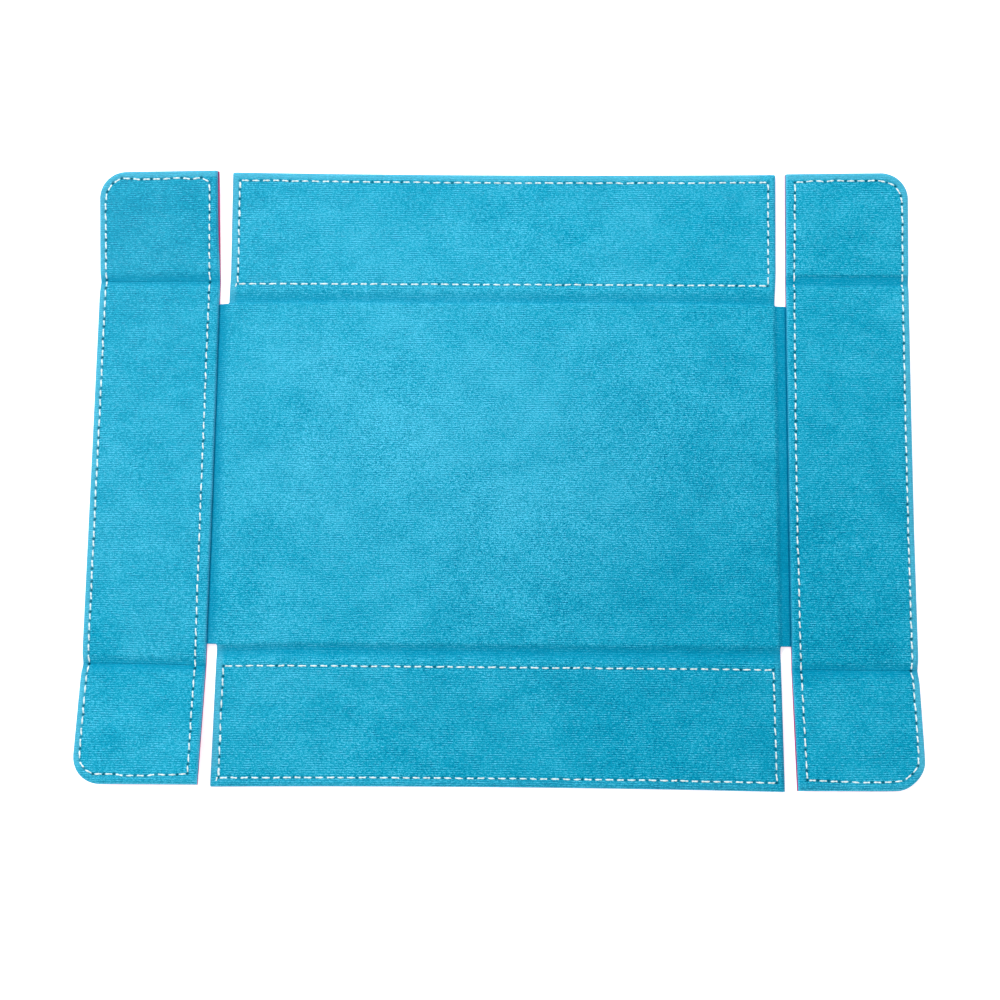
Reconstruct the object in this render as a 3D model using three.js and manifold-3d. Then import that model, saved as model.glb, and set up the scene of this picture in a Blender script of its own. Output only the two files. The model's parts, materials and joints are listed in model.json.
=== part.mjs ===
// Folding dice tray, laid open on a table with its velvet side up.
//
// Two skins, leather below and velvet above, hold nine stiff boards: a floor, four walls and
// four corner tabs. Between the boards the skins are pressed together into thin webs, and
// those webs are the hinges. The left and right walls carry the tabs. To set the tray up, all
// four walls fold up, each tab wraps round the outside of the front or back wall beside it,
// and a magnet in the tab meets a magnet in that wall.
//
// Millimetres, +X right, +Y back, +Z up. The origin is the centre of the floor's underside.

import * as THREE from 'three';
import { mergeVertices } from 'three/addons/utils/BufferGeometryUtils.js';
import Module from 'manifold-3d';

const wasm = await Module();
wasm.setup();

// The tray laid flat
const TRAY_LENGTH = 280;
const TRAY_DEPTH = 211.2;
const SIDE_FOLD_X = 96.4;       // fold line of the left and right walls
const LONG_FOLD_Y = 61.0;       // fold line of the front and back walls
const TAB_FOLD_Y = 66.2;        // fold line of the tabs, outside the folded long wall
const SLIT_END_Y = 58.5;        // closed end of the slit between a tab and a long wall
const OUTER_CORNER_RADIUS = 9.5;
const ARC_STEPS = 8;            // straight steps in each quarter of a round corner

// Grooves between neighbouring pads, measured across the fold line
const SIDE_GROOVE = 3.6;
const LONG_GROOVE = 4.4;
const TAB_GROOVE = 3.6;
const FOLD_GAP = 0.2;           // clear gap on a fold line, between one panel's skins and the next

// The layers
const LEATHER_THICKNESS = 0.8;
const BOARD_THICKNESS = 1.5;
const VELVET_THICKNESS = 0.7;
const GLUE_LINE = 0.1;
const FREE_RIM = 1.6;           // skins' width outside the board at a free edge
const FOLD_RIM = 0.8;           // and at a fold, where the velvet wraps the board's edge

// The seams, each a needle thread in the velvet and a bobbin thread in the leather
const SEAM_MARGIN = 2.4;        // side walls' seams, centre line to the edge at the left and right
const END_SEAM_MARGIN = 3.0;    // and at the front and back
const SLIT_SEAM_MARGIN = 3.0;   // and along the slits
const LONG_SEAM = {             // front and back walls' seams, to the slits, fold line and free edge
  back_wall: { toSlit: 2.8, toFold: 4.3, toEnd: 3.3 },
  front_wall: { toSlit: 2.8, toFold: 5.2, toEnd: 3.0 },
};
const THREAD_WIDTH = 0.7;
const NEEDLE_THREAD_HEIGHT = 0.35;
const NEEDLE_THREAD_PROUD = 0.1;
const BOBBIN_THREAD_HEIGHT = 0.33;
const BOBBIN_THREAD_RAISED = 0.02;
const CHANNEL_CLEARANCE = 0.1;  // between a thread and the channel that its tension presses

// The magnets, each in a hole in a board
const MAGNET_RADIUS = 6;
const MAGNET_THICKNESS = 1.3;
const MAGNET_CHAMFER = 0.15;
const MAGNET_CLEARANCE = 0.15;
const MAGNET_STEPS = 32;
const MAGNET_HEIGHT = 25.6;         // above the wall's fold line, with the wall standing
const MAGNET_FROM_TAB_FOLD = 22.8;  // along the tab, from its fold line

// How far each tab's crease holds it up from the table, in degrees
const TAB_REST_TILT = {
  back_left_tab: 5,
  back_right_tab: 3,
  front_left_tab: 8,
  front_right_tab: 8,
};

// Worked out from the sizes above
const HALF_LENGTH = TRAY_LENGTH / 2;
const HALF_DEPTH = TRAY_DEPTH / 2;
const HALF_GAP = FOLD_GAP / 2;
const BOARD_BOTTOM = LEATHER_THICKNESS + GLUE_LINE;
const BOARD_TOP = BOARD_BOTTOM + BOARD_THICKNESS;
const POCKET_TOP = BOARD_TOP + GLUE_LINE;
const VELVET_TOP = POCKET_TOP + VELVET_THICKNESS;
const WEB_TOP = BOARD_BOTTOM + VELVET_THICKNESS;  // the velvet's face in a groove, where it folds
const FLOOR_PAD_X = SIDE_FOLD_X - SIDE_GROOVE / 2;
const FLOOR_PAD_Y = LONG_FOLD_Y - LONG_GROOVE / 2;
const SIDE_PAD_X = SIDE_FOLD_X + SIDE_GROOVE / 2;
const SIDE_PAD_Y = TAB_FOLD_Y - TAB_GROOVE / 2;
const LONG_PAD_Y = LONG_FOLD_Y + LONG_GROOVE / 2;
const TAB_PAD_Y = TAB_FOLD_Y + TAB_GROOVE / 2;
const INNER_SEAM_X = SIDE_PAD_X + SLIT_SEAM_MARGIN;
const OUTER_SEAM_X = HALF_LENGTH - SEAM_MARGIN;
const END_SEAM_Y = HALF_DEPTH - END_SEAM_MARGIN;
const LONG_MAGNET_X = SIDE_FOLD_X - MAGNET_FROM_TAB_FOLD;
const OVERLAP = 1;              // how far joined and cutting solids run into what they meet

const velvet = new THREE.MeshStandardMaterial({ color: 0x2cb0d4, roughness: 0.95, metalness: 0 });
const leather = new THREE.MeshStandardMaterial({ color: 0xc4336a, roughness: 0.5, metalness: 0 });
const board = new THREE.MeshStandardMaterial({ color: 0x8b8172, roughness: 0.9, metalness: 0 });
const thread = new THREE.MeshStandardMaterial({ color: 0xf2f0e4, roughness: 0.7, metalness: 0 });
const nickel = new THREE.MeshStandardMaterial({ color: 0xb4b7ba, roughness: 0.3, metalness: 1 });

// ---- Joining and cutting ----

function toSolid(geometry) {
  const bare = geometry.clone();
  bare.deleteAttribute('normal');
  bare.deleteAttribute('uv');
  const merged = mergeVertices(bare);
  const vertProperties = new Float32Array(merged.attributes.position.array);
  const triVerts = new Uint32Array(merged.index.array);
  return new wasm.Manifold(new wasm.Mesh({ numProp: 3, vertProperties, triVerts }));
}

function toGeometry(solid) {
  const mesh = solid.getMesh();
  const geometry = new THREE.BufferGeometry();
  geometry.setAttribute('position', new THREE.BufferAttribute(mesh.vertProperties, 3));
  geometry.setIndex(new THREE.BufferAttribute(mesh.triVerts, 1));
  geometry.computeVertexNormals();
  return geometry;
}

function joinThenCut(joined, cutters) {
  const whole = joined.map(toSolid).reduce((sum, next) => sum.add(next));
  const rest = cutters.map(toSolid).reduce((left, cutter) => left.subtract(cutter), whole);
  return toGeometry(rest);
}

// ---- Outlines, drawn for the right-hand and back panels ----

function rectangle(x0, x1, y0, y1) {
  const shape = new THREE.Shape();
  shape.moveTo(x0, y0);
  shape.lineTo(x1, y0);
  shape.lineTo(x1, y1);
  shape.lineTo(x0, y1);
  return shape;
}

// A rectangle whose corner at x1, y1 is round
function tabOutline(x0, x1, y0, y1, radius) {
  const shape = new THREE.Shape();
  shape.moveTo(x0, y0);
  shape.lineTo(x1, y0);
  shape.absarc(x1 - radius, y1 - radius, radius, 0, Math.PI / 2, false);
  shape.lineTo(x0, y1);
  return shape;
}

// A closed band of one width, centred on a rectangle's outline
function rectangleBand(x0, x1, y0, y1, width) {
  const half = width / 2;
  const shape = rectangle(x0 - half, x1 + half, y0 - half, y1 + half);
  shape.holes.push(rectangle(x0 + half, x1 - half, y0 + half, y1 - half));
  return shape;
}

// An open band: out along x0, across at y1, round the far corner and back along x1
function tabBand(x0, x1, y0, y1, radius, width) {
  const half = width / 2;
  const shape = new THREE.Shape();
  shape.moveTo(x0 - half, y0);
  shape.lineTo(x0 - half, y1 + half);
  shape.absarc(x1 - radius, y1 - radius, radius + half, Math.PI / 2, 0, true);
  shape.lineTo(x1 + half, y0);
  shape.lineTo(x1 - half, y0);
  shape.absarc(x1 - radius, y1 - radius, radius - half, 0, Math.PI / 2, false);
  shape.lineTo(x0 + half, y1 - half);
  shape.lineTo(x0 + half, y0);
  return shape;
}

function circle(x, y, radius) {
  const shape = new THREE.Shape();
  shape.absarc(x, y, radius, 0, 2 * Math.PI, false);
  return shape;
}

// ---- The five kinds of piece ----

// Turns an outline into a plate between two heights, on the side of the tray that the signs give.
// A mirrored outline runs the other way round, so its points are put back in order.
function plate(shape, signs, bottom, top, arcSteps = ARC_STEPS) {
  const { shape: outline, holes } = shape.extractPoints(arcSteps / 2);
  const place = (points) => {
    const placed = points.map((point) => new THREE.Vector2(point.x * signs.x, point.y * signs.y));
    return signs.x * signs.y < 0 ? placed.reverse() : placed;
  };
  const placed = new THREE.Shape(place(outline));
  placed.holes = holes.map((hole) => new THREE.Path(place(hole)));
  const geometry = new THREE.ExtrudeGeometry(placed, { depth: top - bottom, bevelEnabled: false });
  return geometry.translate(0, 0, bottom);
}

function leatherSkin(panel, signs) {
  const channelTop = BOBBIN_THREAD_RAISED + BOBBIN_THREAD_HEIGHT + CHANNEL_CLEARANCE;
  const sheets = [panel.pad, ...panel.webs].map((shape) => plate(shape, signs, 0, LEATHER_THICKNESS));
  const channels = panel.seams.map((seam) => plate(seam.channel, signs, -OVERLAP, channelTop));
  return joinThenCut(sheets, channels);
}

// The velvet covers the board's face and edges, and lies on the leather in the webs
function velvetSkin(panel, signs) {
  const channelBottom = VELVET_TOP + NEEDLE_THREAD_PROUD - NEEDLE_THREAD_HEIGHT - CHANNEL_CLEARANCE;
  const pad = plate(panel.pad, signs, BOARD_BOTTOM, VELVET_TOP);
  const webs = panel.webs.map((shape) => plate(shape, signs, BOARD_BOTTOM, WEB_TOP));
  const pocket = plate(panel.pocket, signs, BOARD_BOTTOM - OVERLAP, POCKET_TOP);
  const channels = panel.seams.map((seam) => {
    return plate(seam.channel, signs, channelBottom, VELVET_TOP + OVERLAP);
  });
  return joinThenCut([pad, ...webs], [pocket, ...channels]);
}

function stiffBoard(panel, signs) {
  const holes = panel.magnets.map(({ x, y }) => {
    const hole = circle(x, y, MAGNET_RADIUS + MAGNET_CLEARANCE);
    return plate(hole, signs, BOARD_BOTTOM - OVERLAP, BOARD_TOP + OVERLAP, MAGNET_STEPS);
  });
  return joinThenCut([plate(panel.board, signs, BOARD_BOTTOM, BOARD_TOP)], holes);
}

function magnetDisc({ x, y }, signs) {
  const bottom = (BOARD_BOTTOM + BOARD_TOP - MAGNET_THICKNESS) / 2;
  const top = bottom + MAGNET_THICKNESS;
  const profile = [
    new THREE.Vector2(0, bottom),
    new THREE.Vector2(MAGNET_RADIUS - MAGNET_CHAMFER, bottom),
    new THREE.Vector2(MAGNET_RADIUS, bottom + MAGNET_CHAMFER),
    new THREE.Vector2(MAGNET_RADIUS, top - MAGNET_CHAMFER),
    new THREE.Vector2(MAGNET_RADIUS - MAGNET_CHAMFER, top),
    new THREE.Vector2(0, top),
  ];
  const geometry = new THREE.LatheGeometry(profile, MAGNET_STEPS);
  geometry.rotateX(Math.PI / 2);
  return geometry.translate(x * signs.x, y * signs.y, 0);
}

function needleThread(seam, signs) {
  const top = VELVET_TOP + NEEDLE_THREAD_PROUD;
  return plate(seam.thread, signs, top - NEEDLE_THREAD_HEIGHT, top);
}

function bobbinThread(seam, signs) {
  const top = BOBBIN_THREAD_RAISED + BOBBIN_THREAD_HEIGHT;
  return plate(seam.thread, signs, BOBBIN_THREAD_RAISED, top);
}

// ---- The four kinds of panel ----

// A seam is one band for its threads, and the same band a little larger for their channels
function seam(name, band) {
  const channelWidth = THREAD_WIDTH + 2 * CHANNEL_CLEARANCE;
  return { name, thread: band(THREAD_WIDTH, 0), channel: band(channelWidth, OVERLAP) };
}

function floorPanel() {
  const boardX = FLOOR_PAD_X - FOLD_RIM;
  const boardY = FLOOR_PAD_Y - FOLD_RIM;
  const webX = SIDE_FOLD_X - HALF_GAP;
  const webY = LONG_FOLD_Y - HALF_GAP;
  return {
    pad: rectangle(-FLOOR_PAD_X, FLOOR_PAD_X, -FLOOR_PAD_Y, FLOOR_PAD_Y),
    webs: [
      rectangle(-webX, webX, -SLIT_END_Y, SLIT_END_Y),
      rectangle(-FLOOR_PAD_X, FLOOR_PAD_X, -webY, webY),
    ],
    board: rectangle(-boardX, boardX, -boardY, boardY),
    pocket: rectangle(-boardX - GLUE_LINE, boardX + GLUE_LINE, -boardY - GLUE_LINE, boardY + GLUE_LINE),
    seams: [],
    magnets: [],
  };
}

function sideWallPanel() {
  const boardX0 = SIDE_PAD_X + FOLD_RIM;
  const boardX1 = HALF_LENGTH - FREE_RIM;
  const boardY = SIDE_PAD_Y - FOLD_RIM;
  const webY = TAB_FOLD_Y - HALF_GAP;
  const straightSeam = (name, x) => seam(name, (width, overrun) => {
    return rectangle(x - width / 2, x + width / 2, -SIDE_PAD_Y - overrun, SIDE_PAD_Y + overrun);
  });
  return {
    pad: rectangle(SIDE_PAD_X, HALF_LENGTH, -SIDE_PAD_Y, SIDE_PAD_Y),
    webs: [
      rectangle(SIDE_FOLD_X + HALF_GAP, SIDE_PAD_X + OVERLAP, -SLIT_END_Y, SLIT_END_Y),
      rectangle(SIDE_PAD_X, HALF_LENGTH, -webY, webY),
    ],
    board: rectangle(boardX0, boardX1, -boardY, boardY),
    pocket: rectangle(boardX0 - GLUE_LINE, boardX1 + GLUE_LINE, -boardY - GLUE_LINE, boardY + GLUE_LINE),
    seams: [straightSeam('inner', INNER_SEAM_X), straightSeam('outer', OUTER_SEAM_X)],
    magnets: [],
  };
}

function longWallPanel(name) {
  const boardX = FLOOR_PAD_X - FREE_RIM;
  const boardY0 = LONG_PAD_Y + FOLD_RIM;
  const boardY1 = HALF_DEPTH - FREE_RIM;
  const seamX = FLOOR_PAD_X - LONG_SEAM[name].toSlit;
  const seamY0 = LONG_FOLD_Y + LONG_SEAM[name].toFold;
  const seamY1 = HALF_DEPTH - LONG_SEAM[name].toEnd;
  const magnetY = LONG_FOLD_Y + MAGNET_HEIGHT;
  return {
    pad: rectangle(-FLOOR_PAD_X, FLOOR_PAD_X, LONG_PAD_Y, HALF_DEPTH),
    webs: [rectangle(-FLOOR_PAD_X, FLOOR_PAD_X, LONG_FOLD_Y + HALF_GAP, LONG_PAD_Y + OVERLAP)],
    board: rectangle(-boardX, boardX, boardY0, boardY1),
    pocket: rectangle(-boardX - GLUE_LINE, boardX + GLUE_LINE, boardY0 - GLUE_LINE, boardY1 + GLUE_LINE),
    seams: [seam('', (width) => rectangleBand(-seamX, seamX, seamY0, seamY1, width))],
    magnets: [
      { name: 'left', x: -LONG_MAGNET_X, y: magnetY },
      { name: 'right', x: LONG_MAGNET_X, y: magnetY },
    ],
  };
}

function tabPanel() {
  const boardX0 = SIDE_PAD_X + FREE_RIM;
  const boardX1 = HALF_LENGTH - FREE_RIM;
  const boardY0 = TAB_PAD_Y + FOLD_RIM;
  const boardY1 = HALF_DEPTH - FREE_RIM;
  const boardRadius = OUTER_CORNER_RADIUS - FREE_RIM;
  const seamRadius = OUTER_CORNER_RADIUS - SEAM_MARGIN;
  return {
    pad: tabOutline(SIDE_PAD_X, HALF_LENGTH, TAB_PAD_Y, HALF_DEPTH, OUTER_CORNER_RADIUS),
    webs: [rectangle(SIDE_PAD_X, HALF_LENGTH, TAB_FOLD_Y + HALF_GAP, TAB_PAD_Y + OVERLAP)],
    board: tabOutline(boardX0, boardX1, boardY0, boardY1, boardRadius),
    pocket: tabOutline(
      boardX0 - GLUE_LINE,
      boardX1 + GLUE_LINE,
      boardY0 - GLUE_LINE,
      boardY1 + GLUE_LINE,
      boardRadius + GLUE_LINE,
    ),
    seams: [
      seam('', (width, overrun) => {
        return tabBand(INNER_SEAM_X, OUTER_SEAM_X, TAB_PAD_Y - overrun, END_SEAM_Y, seamRadius, width);
      }),
    ],
    magnets: [{ name: '', x: SIDE_FOLD_X + MAGNET_HEIGHT, y: TAB_FOLD_Y + MAGNET_FROM_TAB_FOLD }],
  };
}

// ---- The tray ----

function nodeName(...words) {
  return words.filter((word) => word !== '').join('_');
}

// Adds every piece of one panel to a group that stands at the panel's fold line
function addPanel(group, foldLine, name, panel, signs) {
  const addPiece = (pieceName, geometry, material) => {
    const mesh = new THREE.Mesh(geometry, material.clone());
    mesh.name = pieceName;
    mesh.position.copy(foldLine).negate();
    group.add(mesh);
  };
  addPiece(nodeName(name, 'leather'), leatherSkin(panel, signs), leather);
  addPiece(nodeName(name, 'board'), stiffBoard(panel, signs), board);
  addPiece(nodeName(name, 'velvet'), velvetSkin(panel, signs), velvet);
  panel.magnets.forEach((disc) => {
    addPiece(nodeName(name, disc.name, 'magnet'), magnetDisc(disc, signs), nickel);
  });
  panel.seams.forEach((line) => {
    addPiece(nodeName(name, line.name, 'needle_thread'), needleThread(line, signs), thread);
    addPiece(nodeName(name, line.name, 'bobbin_thread'), bobbinThread(line, signs), thread);
  });
}

// A group whose origin lies on a fold line, hung on the group of the panel that it folds from
function foldGroup(parent, parentFoldLine, foldLine) {
  const group = new THREE.Group();
  group.position.copy(foldLine).sub(parentFoldLine);
  parent.add(group);
  return group;
}

const tray = new THREE.Group();
const trayOrigin = new THREE.Vector3(0, 0, 0);

addPanel(tray, trayOrigin, 'floor', floorPanel(), { x: 1, y: 1 });

for (const [name, signY] of [['back_wall', 1], ['front_wall', -1]]) {
  const foldLine = new THREE.Vector3(0, signY * LONG_FOLD_Y, WEB_TOP);
  const wall = foldGroup(tray, trayOrigin, foldLine);
  addPanel(wall, foldLine, name, longWallPanel(name), { x: 1, y: signY });
}

for (const [side, signX] of [['left', -1], ['right', 1]]) {
  const wallFoldLine = new THREE.Vector3(signX * SIDE_FOLD_X, 0, WEB_TOP);
  const wall = foldGroup(tray, trayOrigin, wallFoldLine);
  addPanel(wall, wallFoldLine, `${side}_wall`, sideWallPanel(), { x: signX, y: 1 });

  for (const [end, signY] of [['back', 1], ['front', -1]]) {
    const name = `${end}_${side}_tab`;
    const tabFoldLine = new THREE.Vector3(signX * SIDE_FOLD_X, signY * TAB_FOLD_Y, WEB_TOP);
    const tab = foldGroup(wall, wallFoldLine, tabFoldLine);
    tab.rotation.x = signY * THREE.MathUtils.degToRad(TAB_REST_TILT[name]);
    addPanel(tab, tabFoldLine, name, tabPanel(), { x: signX, y: signY });
  }
}

export default tray;
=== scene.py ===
import json
import math

import bpy
import numpy as np
from mathutils import Matrix, Vector


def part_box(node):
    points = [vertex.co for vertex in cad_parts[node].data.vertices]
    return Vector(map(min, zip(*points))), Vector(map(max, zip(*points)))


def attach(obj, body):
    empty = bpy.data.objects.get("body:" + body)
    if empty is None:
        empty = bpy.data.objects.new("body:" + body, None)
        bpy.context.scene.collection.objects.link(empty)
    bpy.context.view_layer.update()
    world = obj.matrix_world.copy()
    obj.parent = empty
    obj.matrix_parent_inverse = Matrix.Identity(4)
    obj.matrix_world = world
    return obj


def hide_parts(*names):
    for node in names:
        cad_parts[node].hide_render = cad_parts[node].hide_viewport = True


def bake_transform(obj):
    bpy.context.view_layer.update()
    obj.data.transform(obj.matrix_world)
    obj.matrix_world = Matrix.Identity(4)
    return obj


# Folding dice tray: a velvet face and a leather underside glued round nine boards, folded along
# eight pressed grooves. Shapes are built flat, in millimetres, as the tray is cut and sewn, and
# then take the small tilt that the corner tabs have at rest.

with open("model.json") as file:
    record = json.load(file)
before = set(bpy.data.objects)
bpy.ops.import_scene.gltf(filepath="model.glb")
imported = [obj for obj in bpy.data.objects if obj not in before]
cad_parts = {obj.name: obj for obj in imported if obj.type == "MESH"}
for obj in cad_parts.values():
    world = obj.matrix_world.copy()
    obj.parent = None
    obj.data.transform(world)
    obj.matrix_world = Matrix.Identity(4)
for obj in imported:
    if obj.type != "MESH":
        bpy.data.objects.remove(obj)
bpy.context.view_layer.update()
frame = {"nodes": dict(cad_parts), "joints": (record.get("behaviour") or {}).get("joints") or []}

MM = 0.001
SEED = 20261117

SIDES = {"left": -1, "right": 1}
ENDS = {"front": -1, "back": 1}


# -------- sizes taken from the frame

def box_mm(node):
    """Lowest and highest corner of a CAD node, in millimetres."""
    low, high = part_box(node)
    return np.array(low) / MM, np.array(high) / MM


JOINTS = {joint["name"]: joint for joint in frame["joints"]}
FREE_RIM = 1.6             # skins' width outside the board at a free edge
FOLD_RIM = 0.8             # and between a board's edge and its pad's edge at a fold
POCKET_GAP = 0.05

HALF_LENGTH = box_mm("right_wall_velvet")[1][0]
HALF_DEPTH = box_mm("back_wall_velvet")[1][1]
VELVET_TOP = box_mm("floor_velvet")[1][2]
LEATHER_TOP = box_mm("floor_leather")[1][2]
VELVET_BOTTOM = box_mm("floor_velvet")[0][2]
POCKET_TOP = box_mm("floor_board")[1][2] + 0.1
PIVOT_Z = JOINTS["right_wall_fold"]["pos_m"][2] / MM
TAB_FOLD_Y = JOINTS["back_right_tab_fold"]["pos_m"][1] / MM
FLOOR_PAD_X = box_mm("floor_board")[1][0] + FOLD_RIM
FLOOR_PAD_Y = box_mm("floor_board")[1][1] + FOLD_RIM
LONG_PAD_Y = box_mm("back_wall_board")[0][1] - FOLD_RIM
SIDE_PAD_Y = box_mm("right_wall_board")[1][1] + FOLD_RIM
SIDE_PAD_X = box_mm("back_right_tab_velvet")[0][0]
TAB_PAD_Y = 2 * TAB_FOLD_Y - SIDE_PAD_Y
SLIT_END_Y = 58.5
CORNER_RADIUS = 9.5

THREAD_HALF = 0.35
SEAM_END_Y = HALF_DEPTH - 3.0
SEAM_IN_X = box_mm("right_wall_inner_needle_thread")[0][0] + THREAD_HALF
SEAM_OUT_X = box_mm("right_wall_outer_needle_thread")[1][0] - THREAD_HALF
SEAM_CORNER_RADIUS = CORNER_RADIUS - (HALF_LENGTH - SEAM_OUT_X)

STITCH_PITCH = 3.5
SHARP_TURN = 0.4           # how far short of a tab's slit corner its seam turns
CUT_TURNS = {("left", "back"): 1.6}   # and where it turns earlier
SEAM_BOW = {"left": 0.6, "right": -0.6}   # how far the side walls' inner seams bow outward
SETBACK = 0.07             # velvet's edge behind the leather's along the slits
SLIT_REVEAL = {(-1, 1): 0.43, (1, -1): 0.2, (1, 1): 0.08}   # and how much further at some tabs


def tab_tilt(side, end):
    """Angle that a tab stands up at rest, in radians."""
    return math.radians(-JOINTS[f"{end}_{side}_tab_fold"]["range_deg"][0])


TILTS = {(SIDES[s], ENDS[e]): tab_tilt(s, e) for s in SIDES for e in ENDS}


# -------- shape of the flat laminate

def eased(value):
    """Smooth step from 0 to 1."""
    value = np.clip(value, 0, 1)
    return value * value * (3 - 2 * value)


def through(value, stops):
    """Height through (position, height) stops, level at each stop."""
    height = np.full_like(value, stops[0][1])
    for (start, low), (end, high) in zip(stops, stops[1:]):
        height = height + (high - low) * eased((value - start) / (end - start))
    return height


# An edge of a piece: how wide its roll is and how far the face comes down at the very edge.
FREE = (1.6, 1.55)         # cut edge, where the velvet comes down on the leather
SLIT = (0.55, 1.4)         # cut edge along a slit, with the leather showing past the velvet
CUT = (0.25, 0.15)         # end of a groove at a slit
JOINED = (1.5, 0.0)        # the face goes on across a groove
WEB = (0.01, 0.0)          # a groove's side, at the next pad's edge
TUCKED = (0.02, 0.0)       # a groove's side that runs under the next pad's edge
ROLL_STEPS = 7

# How far the face lies below the pads, by the distance in mm past the first pad's edge.
SIDE_VALLEYS = {
    "left": ((-1.8, 0.0), (2.9, 1.3), (3.6, 1.9)),
    "right": ((-1.3, 0.0), (0.9, 1.25), (2.9, 1.3), (3.6, 1.9)),
}
BACK_VALLEY = ((-0.9, 0.0), (0.5, 0.8), (0.8, 0.85), (5.0, 0.0))
FRONT_VALLEY = ((-0.9, 0.0), (1.8, 0.98), (2.2, 1.1), (2.7, 0.95), (5.8, 0.0))
TAB_VALLEY = ((-1.5, 0.0), (1.5, 0.55), (1.8, 0.78), (2.1, 0.55), (5.0, 0.0))
FLAT_TAB_VALLEYS = {("right", "back"): ((0.2, 0.0), (1.3, 0.65), (4.0, 0.65), (5.0, 0.0))}

# Marks in the velvet's face, as (height or depth, distance over which it fades).
MAGNET_BUMP = (0.24, 1.8)
MAGNET_BUMP_RADIUS = 7.2
SEAM_PRESS = (0.1, 0.8)
STITCH_DENT = (0.25, 0.5)
RIPPLE = 0.05              # height of the glued face's waves
RIPPLE_START = 3           # distance in from a cut edge at which they are full


def dip(gap, mark):
    """Round dent or bump of a mark, by the distance from its middle."""
    size, fade = mark
    return size * np.exp(-(gap / fade) ** 2)


def span(sign, inner, outer, inner_edge, outer_edge):
    """A piece's two ends along one axis, lowest first, each as (position, edge)."""
    if sign > 0:
        return (inner, inner_edge), (outer, outer_edge)
    return (-outer, outer_edge), (-inner, inner_edge)


def grid_lines(ends, step, roll_steps=ROLL_STEPS):
    """Positions of grid lines between two ends, close together where an edge rolls over."""
    (low, low_edge), (high, high_edge) = ends
    roll = 1 - np.cos(np.linspace(0, math.pi / 2, roll_steps, endpoint=False))
    inner_low, inner_high = low + low_edge[0], high - high_edge[0]
    count = max(2, round((inner_high - inner_low) / step) + 1)
    middle = np.linspace(inner_low, inner_high, count)
    return np.concatenate([low + low_edge[0] * roll, middle, (high - high_edge[0] * roll)[::-1]])


def round_corner(x, y, corner):
    """Moves grid points of a square corner on to a quarter disc, keeping their rings."""
    center_x, center_y = HALF_LENGTH - CORNER_RADIUS, HALF_DEPTH - CORNER_RADIUS
    out_x = (x * corner[0] - center_x) / CORNER_RADIUS
    out_y = (y * corner[1] - center_y) / CORNER_RADIUS
    inside = (out_x > 1e-9) & (out_y > 1e-9)
    radius = np.maximum(out_x, out_y)
    least = np.minimum(out_x, out_y)
    turn = np.where(inside, least / np.where(inside, radius, 1) * math.pi / 4, 0)
    turn = np.where(out_x >= out_y, turn, math.pi / 2 - turn)
    arc_x = (center_x + CORNER_RADIUS * radius * np.cos(turn)) * corner[0]
    arc_y = (center_y + CORNER_RADIUS * radius * np.sin(turn)) * corner[1]
    return np.where(inside, arc_x, x), np.where(inside, arc_y, y)


def edge_gaps(piece, x, y):
    """Distance of each point to each edge of its piece, with that edge."""
    (low_x, high_x), (low_y, high_y) = piece["x"], piece["y"]
    gaps = [[x - low_x[0], low_x[1]], [high_x[0] - x, high_x[1]]]
    gaps += [[y - low_y[0], low_y[1]], [high_y[0] - y, high_y[1]]]
    corner = piece.get("corner")
    if corner:
        out_x = x * corner[0] - (HALF_LENGTH - CORNER_RADIUS)
        out_y = y * corner[1] - (HALF_DEPTH - CORNER_RADIUS)
        inside = (out_x > 0) & (out_y > 0)
        arc = CORNER_RADIUS - np.hypot(out_x, out_y)
        outer_x, outer_y = (1 if corner[0] > 0 else 0), (3 if corner[1] > 0 else 2)
        gaps[outer_x][0] = np.where(inside, arc, gaps[outer_x][0])
        gaps[outer_y][0] = np.where(inside, CORNER_RADIUS, gaps[outer_y][0])
    return gaps


def path_gap(x, y, path):
    """Distance of each point to a broken line."""
    gap = np.full(x.shape, 1e9)
    for (start_x, start_y), (end_x, end_y) in zip(path, path[1:]):
        run_x, run_y = end_x - start_x, end_y - start_y
        along = ((x - start_x) * run_x + (y - start_y) * run_y) / (run_x ** 2 + run_y ** 2)
        along = np.clip(along, 0, 1)
        gap = np.minimum(gap, np.hypot(x - start_x - along * run_x, y - start_y - along * run_y))
    return gap


def nearest_gap(x, y, points):
    """Distance of each point to the nearest of a few points."""
    gap = np.full(x.shape, 1e9)
    for point_x, point_y in points:
        np.minimum(gap, np.hypot(x - point_x, y - point_y), out=gap)
    return gap


def ripple(x, y):
    """Slow and quick waves of the glued face."""
    slow = np.sin(x / 17 + 1.1) * np.sin(y / 21 + 0.4)
    quick = np.sin(x / 7.1 + y / 11.3) * np.sin(y / 8.7 - x / 14.9 + 2.0)
    return RIPPLE * (0.65 * slow + 0.35 * quick)


MAGNETS = [(box_mm(n)[0] + box_mm(n)[1])[:2] / 2 for n in frame["nodes"] if n.endswith("_magnet")]


def valley_depths(piece, x, y):
    """How far the face lies below the pads for each groove in or beside a piece."""
    return [
        through((x, y)[axis] * sign - edge, stops) for axis, sign, edge, stops in piece["valleys"]
    ]


def valley_depth(piece, x, y):
    """The deepest of a piece's grooves at each point."""
    return np.maximum.reduce([np.zeros_like(x), *valley_depths(piece, x, y)])


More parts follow.
